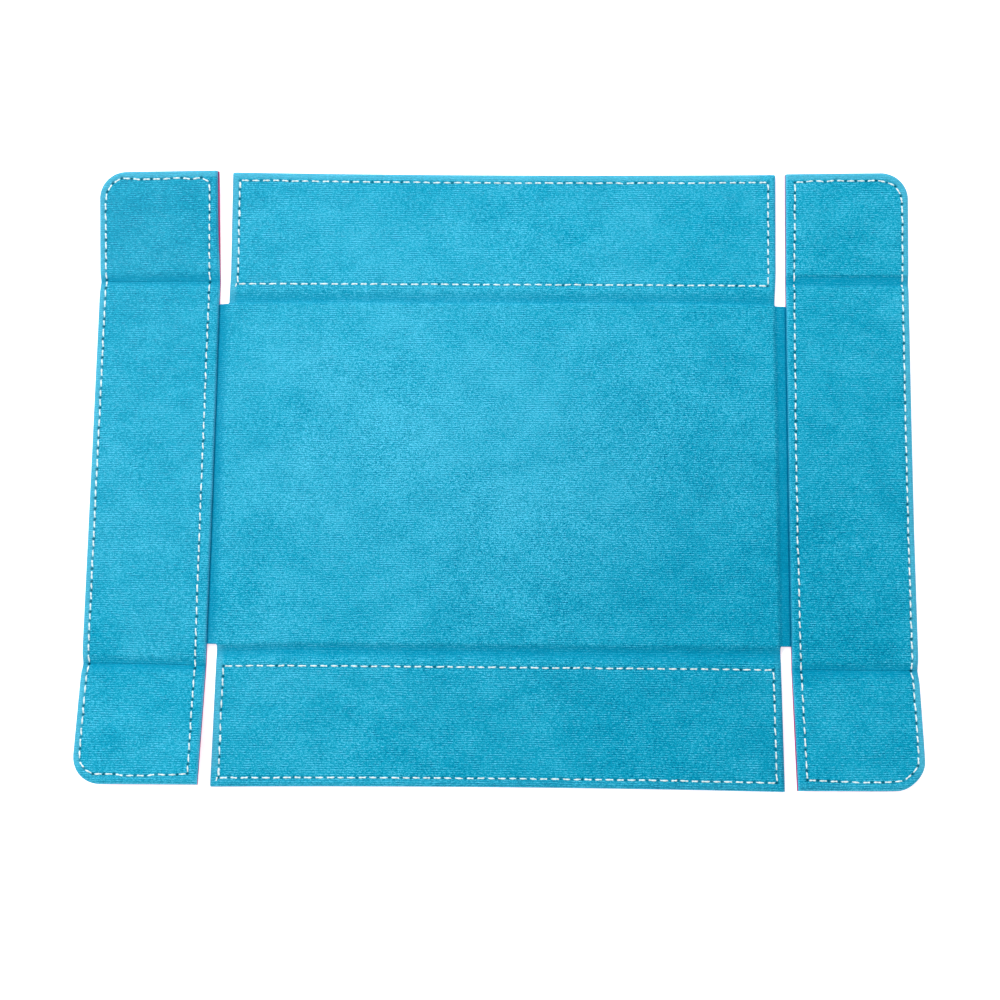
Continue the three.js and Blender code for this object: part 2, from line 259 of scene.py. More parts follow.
def velvet_height(piece, x, y):
    """Height of the velvet's face over points of a piece."""
    room = VELVET_TOP - VELVET_BOTTOM + 0.1
    kept = np.ones_like(x)
    for depth in valley_depths(piece, x, y):
        kept = kept * (1 - depth / room)
    for gap, (width, drop) in edge_gaps(piece, x, y):
        rise = np.clip(gap / width, 0, 1)
        kept = kept * (1 - drop / room * (1 - np.sqrt(1 - (1 - rise) ** 2)))
    height = VELVET_TOP - room * (1 - kept)
    inside = np.clip(min_gap(piece, x, y) / RIPPLE_START, 0, 1)
    height += ripple(x, y) * inside
    bump, fade = MAGNET_BUMP
    height += bump * eased((MAGNET_BUMP_RADIUS - nearest_gap(x, y, MAGNETS)) / fade)
    for part in piece.get("seams", ()):
        height -= dip(path_gap(x, y, part["path"]), SEAM_PRESS)
        height -= dip(nearest_gap(x, y, near(piece, part["holes"])), STITCH_DENT)
    return height


def min_gap(piece, x, y, kinds=(FREE, SLIT)):
    """Distance to the piece's nearest cut edge."""
    gaps = [gap for gap, edge in edge_gaps(piece, x, y) if edge in kinds]
    return np.minimum.reduce([np.full(x.shape, 1e9), *gaps])


def near(piece, points):
    """Those of some points that lie on or just outside a piece."""
    (low_x, high_x), (low_y, high_y) = piece["x"], piece["y"]
    return [
        p for p in points
        if low_x[0] - 2 < p[0] < high_x[0] + 2 and low_y[0] - 2 < p[1] < high_y[0] + 2
    ]


# The sewn tray's small unevenness. Corners and tabs are named by their (side, end) signs.
LONG_WALL_FLARE = 0.6      # how much wider each end of a long wall spreads at its outer edge
LONG_WALL_BOW = {          # a long wall's outer edge: shift, lean and bow outward
    "back": (-0.5, -0.25, 0.65),
    "front": (0.0, -0.15, 0.7),
}
BACK_WALL_SHIFT = (0.4, 12)    # how far it sits to the right, over what run past the floor's pad
LEFT_EDGE_SHIFT = 0.4      # how far the left wall's inner edge sits to the right
SLIT_END_SHIFT = {(-1, -1): 0.75, (-1, 1): -0.2, (1, 1): -0.3}   # how far some slits stop short
SLIT_END_REACH = (16, 9)   # and how far round a slit's end that is felt, across and along
# How far a side wall's inner and outer edges lean to the right at each tab's end.
SIDE_LEAN = {(1, 1): (0.45, 1.0), (1, -1): (0.1, 0.3), (-1, 1): (-0.35, 0.0), (-1, -1): (-0.5, 0.0)}
LEAN_START, LEAN_RUN = -20, 120
# How much further out a tab's end lies at its inner and outer edges.
TAB_REACH = {
    (1, 1): (-0.55, 0.0), (-1, 1): (-0.48, -0.3), (-1, -1): (0.1, 0.3), (1, -1): (0.05, -0.25),
}
CREASE_PINCH = {(-1, 1): 0.25, (-1, -1): 0.35, (1, -1): 0.3, (1, 1): 0.05}   # outer edge drawn in
CREASE_PINCH_FADE = 2.8
CORNER_PULL = {(1, -1): 0.6}   # outer corners drawn in towards the tab's middle
CORNER_PULL_FADE = 7
TAB_YAW = {(-1, 1): 1.3}   # degrees that a tab's crease turns it out of square


def skewed(points):
    """Flat points with the small unevenness of the sewn tray."""
    x, y = points[:, 0].copy(), points[:, 1].copy()
    strip = np.abs(x) > (FLOOR_PAD_X + SIDE_PAD_X) / 2
    skew_long_walls(points, x, y, strip)
    skew_side_walls(points, x, y, strip)
    turn_tabs(points, x, y, strip)
    return points


def skew_long_walls(points, x, y, strip):
    """Flares, shifts and bows the front and back walls, and moves the slits' ends."""
    out = np.clip((np.abs(y) - LONG_PAD_Y) / (HALF_DEPTH - LONG_PAD_Y), 0, 1)
    points[:, 0] += np.where(strip, 0, x / FLOOR_PAD_X * LONG_WALL_FLARE * out)
    shift, run = BACK_WALL_SHIFT
    points[:, 0] += np.where(strip, 0, shift * eased((y - FLOOR_PAD_Y) / run))
    for end, (shift, lean, bow) in LONG_WALL_BOW.items():
        along = x / FLOOR_PAD_X
        outward = (shift + lean * along + bow * along ** 2) * out * ~strip
        points[:, 1] += np.where(y * ENDS[end] > 0, ENDS[end] * outward, 0)
    wide, deep = SLIT_END_REACH
    for (side, end), shift in SLIT_END_SHIFT.items():
        from_x, from_y = (x - side * FLOOR_PAD_X) / wide, (y - end * SLIT_END_Y) / deep
        points[:, 1] += end * shift * np.exp(-from_x ** 2 - from_y ** 2)


def skew_side_walls(points, x, y, strip):
    """Leans the side walls' edges, lengthens their tabs and draws in creases and corners."""
    share = np.clip((np.abs(x) - SIDE_PAD_X) / (HALF_LENGTH - SIDE_PAD_X), 0, 1)
    points[:, 0] += np.where(strip & (x < 0), LEFT_EDGE_SHIFT * (1 - share), 0)
    for (side, end), (inner, outer) in SIDE_LEAN.items():
        on = strip & (x * side > 0)
        past = np.clip((y * end - LEAN_START) / LEAN_RUN, 0, 1)
        points[:, 0] += on * (inner + (outer - inner) * share) * past
    for (side, end), (inner, outer) in TAB_REACH.items():
        on = strip & (x * side > 0)
        past = np.clip((y * end - TAB_PAD_Y) / (HALF_DEPTH - TAB_PAD_Y), 0, 1)
        points[:, 1] += end * on * (inner + (outer - inner) * share) * past
    for (side, end), pinch in CREASE_PINCH.items():
        on = strip & (x * side > 0) & (y * end > 0)
        points[:, 0] -= side * on * share * dip(y * end - TAB_FOLD_Y, (pinch, CREASE_PINCH_FADE))
    for (side, end), pull in CORNER_PULL.items():
        gap = np.hypot(x * side - HALF_LENGTH, y * end - HALF_DEPTH)
        points[:, :2] -= dip(gap, (pull, CORNER_PULL_FADE))[:, None] * np.array([side, end])


def turn_tabs(points, x, y, strip):
    """Turns some tabs out of square, from their creases on."""
    for (side, end), yaw in TAB_YAW.items():
        on = strip & (np.sign(x) == side) & (y * end > SIDE_PAD_Y)
        past = (y * end - SIDE_PAD_Y) / (TAB_PAD_Y - SIDE_PAD_Y)
        turn = math.radians(yaw) * eased(past) * on
        from_x, from_y = points[:, 0] - side * (SIDE_PAD_X + HALF_LENGTH) / 2, y - end * TAB_FOLD_Y
        points[:, 0] += from_x * (np.cos(turn) - 1) - from_y * np.sin(turn)
        points[:, 1] += from_x * np.sin(turn) + from_y * (np.cos(turn) - 1)


def rest_shape(points):
    """Flat points as they lie at rest: a little skewed, and each tab turned up about its fold."""
    points = skewed(points.copy())
    strip = np.abs(points[:, 0]) > (FLOOR_PAD_X + SIDE_PAD_X) / 2
    for (side, end), tilt in TILTS.items():
        on = strip & (np.sign(points[:, 0]) == side) & (points[:, 1] * end > SIDE_PAD_Y)
        y, z = points[on, 1] * end - TAB_FOLD_Y, points[on, 2] - PIVOT_Z
        angle = tilt * eased((y + TAB_FOLD_Y - SIDE_PAD_Y) / (TAB_PAD_Y - SIDE_PAD_Y))
        points[on, 1] = end * (TAB_FOLD_Y + y * np.cos(angle) - z * np.sin(angle))
        points[on, 2] = PIVOT_Z + y * np.sin(angle) + z * np.cos(angle)
    return points


# -------- seams

def spaced(run, pitch):
    """Needle holes along a run of a seam, from one end to the other."""
    run = np.array(run, float)
    steps = np.hypot(*np.diff(run, axis=0).T)
    along = np.concatenate([[0], np.cumsum(steps)])
    places = np.linspace(0, along[-1], round(along[-1] / pitch) + 1)
    return np.stack([np.interp(places, along, run[:, k]) for k in (0, 1)], axis=1)


def arc(center, radius, start, end, steps=16):
    """Points of an arc, angles in degrees."""
    angles = np.radians(np.linspace(start, end, steps + 1))
    return [(center[0] + radius * math.cos(a), center[1] + radius * math.sin(a)) for a in angles]


# Darkness of the painted shade in the needle holes.
HOLE_SHADES = (0.3, 0.6, 0.95)
ALONG_RIBS = (0.5, 0.4, 0.1)     # chance of each strength in a long run along the ribs
ACROSS_RIBS = (0.1, 0.35, 0.55)
HOLE_JITTER = 0.05
PITCH_JITTER = 0.24


def hole_shade_dots(runs, rng):
    """The needle holes by how dark their painted shade is, darker in the seams that run across the
    ribs.
    """
    shade_dots = {strength: [] for strength in HOLE_SHADES}
    for run in runs:
        chances = ALONG_RIBS if abs(run[-1][0] - run[0][0]) > 100 else ACROSS_RIBS
        for hole in run:
            shade_dots[rng.choice(list(shade_dots), p=chances)].append(tuple(hole))
    return shade_dots


def seam(name, runs):
    """A seam of runs that meet in sharp corners, with its holes a little uneven."""
    rng = np.random.default_rng(SEED + len(name))
    holes = [spaced(run, STITCH_PITCH) for run in runs]
    for run in holes:
        along = (run[-1] - run[0]) / np.hypot(*(run[-1] - run[0]))
        run[1:-1] += rng.normal(0, HOLE_JITTER, run[1:-1].shape)
        run[1:-1] += rng.normal(0, PITCH_JITTER, (len(run) - 2, 1)) * along
    return {
        "name": name,
        "path": runs[0][:1] + [p for run in runs for p in run[1:]],
        "runs": holes,
        "holes": [tuple(p) for run in holes for p in run],
        "shade_dots": hole_shade_dots(holes, rng),
    }


def long_wall_seam(end):
    """Rectangle sewn on the front or back wall."""
    low, high = box_mm(f"{end}_wall_needle_thread")
    left, right = low[0] + THREAD_HALF, high[0] - THREAD_HALF
    near_y, far_y = sorted((low[1] + THREAD_HALF, high[1] - THREAD_HALF), key=abs)
    corners = [(left, near_y), (right, near_y), (right, far_y), (left, far_y), (left, near_y)]
    runs = [[a, b] for a, b in zip(corners, corners[1:])]
    return seam(f"{end}_wall", runs)


def side_wall_seam(side):
    """Long loop sewn round a side wall and its two tabs."""
    sign = SIDES[side]
    center = SEAM_OUT_X - SEAM_CORNER_RADIUS, SEAM_END_Y - SEAM_CORNER_RADIUS
    outer = arc(center, SEAM_CORNER_RADIUS, 90, 0)
    outer += [(x, -y) for x, y in reversed(outer)]
    back, front = (CUT_TURNS.get((side, end), SHARP_TURN) for end in ("back", "front"))
    loop = [(SEAM_IN_X + back, SEAM_END_Y), *outer, (SEAM_IN_X + front, -SEAM_END_Y)]
    loop = [(SEAM_IN_X, SEAM_END_Y - back), *loop, (SEAM_IN_X, front - SEAM_END_Y)]
    levels = np.linspace(front - SEAM_END_Y, SEAM_END_Y - back, 17)
    bow = SEAM_BOW[side] * np.cos(math.pi / 2 * levels / SEAM_END_Y)
    inner = [(SEAM_IN_X + out, y) for out, y in zip(bow, levels)]
    runs = [[(x * sign, y) for x, y in run] for run in (inner, loop)]
    return seam(f"{side}_wall", runs)


LONG_SEAMS = {end: long_wall_seam(end) for end in ENDS}
SIDE_SEAMS = {side: side_wall_seam(side) for side in SIDES}


# -------- panels and grooves

def side_valley(side):
    return (0, SIDES[side], FLOOR_PAD_X, SIDE_VALLEYS[side])


def long_valley(end):
    return (1, ENDS[end], FLOOR_PAD_Y, BACK_VALLEY if end == "back" else FRONT_VALLEY)


def tab_valley(side, end):
    return (1, ENDS[end], SIDE_PAD_Y, FLAT_TAB_VALLEYS.get((side, end), TAB_VALLEY))


def panels():
    """The nine padded panels, by name."""
    found = {"floor": {
        "x": ((-FLOOR_PAD_X, JOINED), (FLOOR_PAD_X, JOINED)),
        "y": ((-FLOOR_PAD_Y, JOINED), (FLOOR_PAD_Y, JOINED)),
        "valleys": [side_valley(s) for s in SIDES] + [long_valley(e) for e in ENDS],
        "step": (1.2, 1.2),
    }}
    for end, sign in ENDS.items():
        found[f"{end}_wall"] = {
            "x": ((-FLOOR_PAD_X, FREE), (FLOOR_PAD_X, FREE)),
            "y": span(sign, LONG_PAD_Y, HALF_DEPTH, JOINED, FREE),
            "valleys": [long_valley(end)],
            "step": (0.42, 0.42),
            "seams": [LONG_SEAMS[end]],
        }
    for side, sign in SIDES.items():
        across = span(sign, SIDE_PAD_X, HALF_LENGTH, SLIT, FREE)
        found[f"{side}_wall"] = {
            "x": across,
            "y": ((-SIDE_PAD_Y, JOINED), (SIDE_PAD_Y, JOINED)),
            "valleys": [tab_valley(side, end) for end in ENDS],
            "step": (0.5, 0.42),
            "seams": [SIDE_SEAMS[side]],
        }
        for end, away in ENDS.items():
            found[f"{end}_{side}_tab"] = {
                "x": across,
                "y": span(away, TAB_PAD_Y, HALF_DEPTH, JOINED, FREE),
                "valleys": [tab_valley(side, end)],
                "step": (0.42, 0.42),
                "corner": (sign, away),
                "seams": [SIDE_SEAMS[side]],
            }
    return found


def grooves():
    """The eight fabric hinges: the bodies that each joins and the part of the sheet it is."""
    found = {}
    for side, sign in SIDES.items():
        found[f"{side}_wall_fold"] = {
            "joins": ("floor", f"{side}_wall"),
            "x": span(sign, FLOOR_PAD_X, SIDE_PAD_X, WEB, TUCKED),
            "y": ((-SLIT_END_Y, CUT), (SLIT_END_Y, CUT)),
            "valleys": [side_valley(side)],
            "step": (0.16, 1.0),
        }
        for end, away in ENDS.items():
            found[f"{end}_{side}_tab_fold"] = {
                "joins": (f"{side}_wall", f"{end}_{side}_tab"),
                "x": span(sign, SIDE_PAD_X, HALF_LENGTH, SLIT, FREE),
                "y": span(away, SIDE_PAD_Y, TAB_PAD_Y, WEB, WEB),
                "valleys": [tab_valley(side, end)],
                "step": (0.5, 0.12),
                "seams": [SIDE_SEAMS[side]],
            }
    for end, sign in ENDS.items():
        found[f"{end}_wall_fold"] = {
            "joins": ("floor", f"{end}_wall"),
            "x": ((-FLOOR_PAD_X, FREE), (FLOOR_PAD_X, FREE)),
            "y": span(sign, FLOOR_PAD_Y, LONG_PAD_Y, WEB, WEB),
            "valleys": [long_valley(end)],
            "step": (1.0, 0.12),
        }
    return found


# -------- meshes

def grid_points(piece):
    """The piece's grid of flat points, as two arrays of rows along x."""
    x, y = np.meshgrid(
        grid_lines(piece["x"], piece["step"][0]), grid_lines(piece["y"], piece["step"][1])
    )
    if piece.get("corner"):
        x, y = round_corner(x, y, piece["corner"])
    return x, y


def outline(grid):
    """Indices round the rim of a grid, anticlockwise from above."""
    rows, columns = grid
    index = np.arange(rows * columns).reshape(rows, columns)
    return np.concatenate([index[0], index[1:, -1], index[-1, -2::-1], index[-2:0:-1, 0]])


def closed_shell(grid, face, rings, back=None):
    """
    Points and faces of a solid: a grid as its face, rings behind its rim and a flat back. For a
    piece that bends, the back is a grid too, at the height given.
    """
    rows, columns = grid
    index = np.arange(rows * columns).reshape(rows, columns)
    quads = [index[:-1, :-1], index[:-1, 1:], index[1:, 1:], index[1:, :-1]]
    quads = np.stack(quads, axis=-1).reshape(-1, 4)
    faces = quads.tolist()
    points = [face]
    upper = outline(grid)
    start = len(face)
    for ring in rings:
        lower = np.arange(start, start + len(ring))
        walls = [lower, np.roll(lower, -1), np.roll(upper, -1), upper]
        faces += np.stack(walls, axis=-1).tolist()
        points.append(ring)
        upper, start = lower, start + len(ring)
    if back is None:
        faces.append(upper[::-1].tolist())
    else:
        inside = index[1:-1, 1:-1].ravel()
        behind = np.empty(rows * columns, int)
        behind[outline(grid)] = upper
        behind[inside] = np.arange(start, start + len(inside))
        points.append(at_height(face[inside], back))
        faces += behind[quads][:, ::-1].tolist()
    return np.concatenate(points), faces


def make_object(name, points, faces, material, facts=None, sharp=45):
    """A mesh object from points in millimetres, in the frame's place."""
    mesh = bpy.data.meshes.new(name)
    mesh.from_pydata((rest_shape(points) * MM).tolist(), [], faces)
    mesh.shade_smooth()
    mesh.set_sharp_from_angle(angle=math.radians(sharp))
    flat = mesh.attributes.new("flat_mm", "FLOAT_VECTOR", "POINT")
    flat.data.foreach_set("vector", points.astype(np.float32).ravel())
    for key, values in (facts or {}).items():
        attribute = mesh.attributes.new(key, "FLOAT", "POINT")
        attribute.data.foreach_set("value", np.asarray(values, np.float32).ravel())
    mesh.materials.append(material)
    thing = bpy.data.objects.new(name, mesh)
    bpy.context.scene.collection.objects.link(thing)
    return thing


def pocket_ring(ring, piece, board):
    """A pad's rim drawn in to just outside its board."""
    drawn = ring.copy()
    low, high = (corner[0] for corner in box_mm(board))
    bounds = [(low - POCKET_GAP, high + POCKET_GAP)]
    rims = [FREE_RIM if edge == FREE else FOLD_RIM for _, edge in piece["y"]]
    bounds += [(piece["y"][0][0] + rims[0] - POCKET_GAP, piece["y"][1][0] - rims[1] + POCKET_GAP)]
    for axis, (low, high) in enumerate(bounds):
        share = (ring[:, axis] - ring[:, axis].min()) / np.ptp(ring[:, axis])
        drawn[:, axis] = low + share * (high - low)
    return drawn


def at_height(ring, height):
    """A ring at one height."""
    level = ring.copy()
    level[:, 2] = height
    return level


# Painted light and shade patches: place and radius in mm, and change of tone.
LIGHT_PATCHES = ((-20, 15, 70, 0.07), (85, -42, 60, -0.10), (-125, 90, 35, -0.12), (20, -92, 60, -0.06))
FULL_SHADE_DEPTH = 1.8           # depth below the pads at which the pile is pressed flat, and its painted shade full
CREASE_MIDDLE = 2.8        # where a tab's crease is crushed most and its painted shade darkest, past the side wall's pad
CREASE_SHADE = (0.35, 1.9)  # how much more painted shade the crease has there, and how far that fades
MARGIN_WIDTH, MARGIN_FADE = 2.0, 0.9
UNLIT_MARGIN_LOSS = 0.8          # how much fainter the painted highlight on the seams' outer margins is at the front and the right, away from the lights
EDGE_HIGHLIGHT_WIDTH = 0.7           # how far in from a cut edge the painted highlight reaches
# Radius of the painted shade round each needle hole.
HOLE_SHADE_RADIUS = 0.48
GRAIN_LEAST, GRAIN_MORE = 0.64, 0.72   # coarseness of the pile at the rim, and more at the middle
GRAIN_REACH = (85, 55)


def velvet_facts(piece, x, y):
    """Facts for the velvet's material, by place: pressed grooves and creases with painted shade,
    painted highlights on margins and edges, painted shade in needle holes, painted light patches,
    and coarseness.
    """
    # Pressed grooves and tab creases, which the colour darkens as painted shade.
    crease = np.abs(y) - SIDE_PAD_Y - CREASE_MIDDLE
    pressed = valley_depth(piece, x, y) / FULL_SHADE_DEPTH
    pressed += dip(crease, CREASE_SHADE) * (np.abs(x) > SIDE_PAD_X - 1)
    # Painted light and shade patches.
    lie = sum(dip(np.hypot(x - patch_x, y - patch_y), (tone, radius))
              for patch_x, patch_y, radius, tone in LIGHT_PATCHES)
    across, along = x / GRAIN_REACH[0], y / GRAIN_REACH[1]
    return {
        # Painted shade in pressed grooves and creases; it also makes them rougher.
        "pressed": pressed,
        # Painted highlight outside the seams.
        "margin_highlight": margin_highlight_fact(piece, x, y),
        # Painted highlight along the cut edges.
        "edge": 1 - eased(min_gap(piece, x, y) / EDGE_HIGHLIGHT_WIDTH),
        # Painted shade round the needle holes.
        "hole": hole_shade_fact(piece, x, y),
        # Painted light and shade patches.
        "lie": lie,
        "grain": GRAIN_LEAST + GRAIN_MORE * np.exp(-across ** 2 - along ** 2),
    }


def margin_highlight_fact(piece, x, y):
    """Painted highlight along a free cut edge outside the seam, fainter at the front and at the
    right ends, away from the lights.
    """
    margin_highlight = 1 - eased((min_gap(piece, x, y, (FREE,)) - MARGIN_WIDTH) / MARGIN_FADE)
    margin_highlight *= 1 - UNLIT_MARGIN_LOSS * eased((-y - HALF_DEPTH + 8) / 5)
    return margin_highlight * (1 - UNLIT_MARGIN_LOSS * eased((x - FLOOR_PAD_X + 8) / 5) * (x < FLOOR_PAD_X + 1))


def hole_shade_fact(piece, x, y):
    """Painted shade round the needle holes, darkening the velvet."""
    holes = np.zeros_like(x)
    for part in piece.get("seams", ()):
        for strength, shade_dots in part["shade_dots"].items():
            gap = nearest_gap(x, y, near(piece, shade_dots))
            holes = np.maximum(holes, strength * np.exp(-(gap / HOLE_SHADE_RADIUS) ** 4))
    return holes


def velvet_piece(name, piece, material, pocket=None):
    """The velvet over one pad or groove, as a closed skin with room for the pad's board."""
    inset = dict(piece, x=set_back(piece["x"]))
    x, y = grid_points(inset)
    height = velvet_height(inset, x, y)
    x = drawn_back(x, y)
    face = np.stack([x.ravel(), y.ravel(), height.ravel()], axis=1)
    rim = face[outline(x.shape)]
    rings = [at_height(rim, VELVET_BOTTOM)]
    if pocket:
        inner = pocket_ring(rings[0], piece, f"{pocket}_board")
        rings += [inner, at_height(inner, POCKET_TOP)]
    points, faces = closed_shell(x.shape, face, rings, None if pocket else VELVET_BOTTOM)
    facts = velvet_facts(inset, points[:, 0], points[:, 1])
    return make_object(name, points, faces, material, facts)


def set_back(ends):
    """Ends of a piece with the velvet drawn back along a slit, and its groove run up to it."""
    moves = {SLIT: SETBACK, TUCKED: -SETBACK}
    (low, low_edge), (high, high_edge) = ends
    return (low + moves.get(low_edge, 0), low_edge), (high - moves.get(high_edge, 0), high_edge)


def drawn_back(x, y):
    """The velvet's points, further back beside the slits where more of the leather shows."""
    for (side, end), reveal in SLIT_REVEAL.items():
        beside = np.exp(-((x * side - SIDE_PAD_X) / 1.2) ** 2)
        x = x + side * reveal * beside * eased((y * end - SIDE_PAD_Y) / 22)
    return x


LEATHER_GROOVE = 0.16      # share of the velvet's valleys that shows in the leather
LEATHER_ROUND = (0.3, 0.22)    # width and height of its cut edge's round
LEATHER_SEAM = (0.26, 0.75)    # depth and fade of a sunk seam
LEATHER_DENT = (0.12, 0.5)     # and of its holes' dents
CUT_FACE = (0.12, 0.2)     # height at which the dull cut face starts, and its rise


def leather_height(piece, x, y):
    """Height of the leather's outer face: round edges, pressed grooves and sunk seams."""
    height = LEATHER_GROOVE * valley_depth(piece, x, y)
    width, rise = LEATHER_ROUND
    for gap, edge in edge_gaps(piece, x, y):
        if edge in (FREE, SLIT, CUT):
            share = 1 - np.clip(gap / width, 0, 1)
            height = np.maximum(height, rise * (1 - np.sqrt(1 - share ** 2)))
    for part in piece.get("seams", ()):
        height += dip(path_gap(x, y, part["path"]), LEATHER_SEAM)
        height += dip(nearest_gap(x, y, near(piece, part["holes"])), LEATHER_DENT)
    return height


def leather_piece(name, piece, material):
    """The leather under one pad or groove."""
    x, y = grid_points(piece)
    face = np.stack([x.ravel(), y.ravel(), leather_height(piece, x, y).ravel()], axis=1)
    rim = face[outline(x.shape)]
    rings = [at_height(rim, LEATHER_TOP - 0.1), at_height(rim, LEATHER_TOP)]
    points, faces = closed_shell(x.shape, face, rings, LEATHER_TOP if "joins" in piece else None)
    faces = [f[::-1] for f in faces]
    start, rise = CUT_FACE
    facts = {"cut": np.clip((points[:, 2] - start) / rise, 0, 1)}
    return make_object(name, points, faces, material, facts)


# -------- stitches

PLY_RADIUS = 0.15
PLY_OFFSET = 0.125
PLY_TURNS = 1.1
STITCH_RINGS = 13
PLY_SIDES = 7
STITCH_LEAN = (0.26, 0.10)     # slant of stitches sewn across the ribs, and its spread
STITCH_LIFT = 0.13         # height of a stitch's middle above the velvet
STITCH_DIVE = 0.95         # and how far its ends go down
BOBBIN_LEVEL = 0.30        # height of the bobbin stitches' seam in the leather


def stitch_surface(center, side_strip):
    """Velvet's height under a seam, without its holes' dents and with all tab creases alike."""
    height = np.full(len(center), VELVET_TOP - SEAM_PRESS[0])
    if side_strip:
        height -= through(np.abs(center[:, 1]) - SIDE_PAD_Y, TAB_VALLEY)
    return height


def stitch_points(start, end, surface, rng, wide=1.0):
    """Points of one two-ply stitch, as (ply, ring, side, xyz)."""
    run = end - start
    along_dir = run / np.hypot(*run)
    side_dir = np.array([-along_dir[1], along_dir[0]])
    share = np.linspace(0.1, 0.9, STITCH_RINGS)
    lean = rng.normal(STITCH_LEAN[0] * abs(along_dir[1]), STITCH_LEAN[1])
    center = start + share[:, None] * run + ((share - 0.5) * lean)[:, None] * side_dir
    lift = STITCH_LIFT - STITCH_DIVE * (np.abs(2 * share - 1) / 0.8) ** 5
    height = surface(center) + lift
    phase = rng.uniform(0, math.tau)
    points = np.zeros((2, STITCH_RINGS, PLY_SIDES, 3))
    taper = 1 - 0.35 * np.abs(2 * share - 1) ** 6
    for ply in (0, 1):
        turn = phase + ply * math.pi + math.tau * PLY_TURNS * share
        for k in range(PLY_SIDES):
            angle = math.tau * k / PLY_SIDES
            sideways = (PLY_OFFSET * np.cos(turn) + PLY_RADIUS * math.cos(angle)) * taper * wide
            upward = (0.8 * PLY_OFFSET * np.sin(turn) + PLY_RADIUS * math.sin(angle)) * taper
            points[ply, :, k, :2] = center + sideways[:, None] * side_dir
            points[ply, :, k, 2] = height + upward
    return points


def tube_faces(rings, sides, start):
    """Faces of a closed tube of rings."""
    faces = []
    for ring in range(rings - 1):
        for k in range(sides):
            near_k, far_k = start + ring * sides + k, start + ring * sides + (k + 1) % sides
            faces.append((near_k, far_k, far_k + sides, near_k + sides))
    faces.append(tuple(start + k for k in reversed(range(sides))))
    faces.append(tuple(start + (rings - 1) * sides + k for k in range(sides)))
    return faces


def thread_object(name, stitches, material):
    """One object of several stitches."""
    points, faces, shade = [], [], []
    for number, stitch in enumerate(stitches):
        for ply in stitch:
            faces += tube_faces(STITCH_RINGS, PLY_SIDES, sum(map(len, points)))
            points.append(ply.reshape(-1, 3))
            shade.append(np.full(len(points[-1]), (number * 0.618) % 1))
    return make_object(name, np.concatenate(points), faces, material,
                       {"strand": np.concatenate(shade)}, sharp=80)


def seam_stitches(seam_facts, below):
    """Every stitch of a seam, as (lowest |y|, highest |y|, middle y, points)."""
    rng = np.random.default_rng(SEED + 7 * len(seam_facts["name"]) + below)
    side_strip = abs(seam_facts["holes"][0][0]) > FLOOR_PAD_X

    def surface(center):
        if below:
            return np.full(len(center), BOBBIN_LEVEL)
        return stitch_surface(center, side_strip)

    stitches = []
    pairs = [(a, b, 1.0) for run in seam_facts["runs"] for a, b in zip(run, run[1:])]
    if not side_strip and not below:
        pairs += back_stitches(seam_facts)
    for start, end, wide in pairs:
        points = stitch_points(start, end, surface, rng, wide)
        if below:
            points[..., 2] = np.maximum(2 * BOBBIN_LEVEL + 0.02 - points[..., 2], 0.02)
            points = points[:, :, ::-1]
        reach = np.abs([start[1], end[1]])
        stitches.append((reach.min(), reach.max(), (start[1] + end[1]) / 2, points))
    return stitches


def back_stitches(seam_facts):
    """Stitches sewn twice where a rectangle starts and ends, and its cut thread tail."""
    column = seam_facts["runs"][-1]
    beside = np.array([0.22, 0.0])
    found = [(column[k] + beside, column[k + 1] + beside * 0.6, 1.15) for k in (0, 3)]
    tail = min(column, key=lambda hole: hole[1])
    found.append((tail + [-0.1, 0.5], tail + [-0.75, -1.4], 0.9))
    return found


def sew(seam_facts, body, layer, material):
    """Thread objects of one seam, by the body or fold that each goes with."""
    below = layer == "bobbin"
    stitches = seam_stitches(seam_facts, below)
    if abs(seam_facts["holes"][0][0]) < FLOOR_PAD_X:
        piece = thread_object(f"{body}_{layer}_stitches", [s[3] for s in stitches], material)
        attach(piece, body)
        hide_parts(f"{body}_{layer}_thread")
        return [piece]
    side = body.split("_")[0]
    groups = {body: [s[3] for s in stitches if s[1] <= SIDE_PAD_Y]}
    made = []
    for end, sign in ENDS.items():
        mine = [s for s in stitches if s[2] * sign > 0]
        groups[f"{end}_{side}_tab"] = [s[3] for s in mine if s[0] >= TAB_PAD_Y]
        crossing = [s[3] for s in mine if s[1] > SIDE_PAD_Y and s[0] < TAB_PAD_Y]
        piece = thread_object(f"{end}_{side}_tab_fold_{layer}_stitches", crossing, material)
        bend(piece, f"{side}_wall", f"{end}_{side}_tab")
        made.append(piece)
    for name, group in groups.items():
        piece = thread_object(f"{name}_{layer}_stitches", group, material)
        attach(piece, name)
        nodes = [n for n in frame["nodes"] if n.startswith(name) and n.endswith(f"{layer}_thread")]
        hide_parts(*nodes)
        made.append(piece)
    return made


def bend(piece, a, b):
    """Bakes a piece's place into its points; the piece stays as it lies at rest and is not bent
    over the fold.
    """
    if b.endswith("_tab"):
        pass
    elif b.split("_")[0] in SIDES:
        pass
    else:
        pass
    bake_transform(piece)


# -------- materials

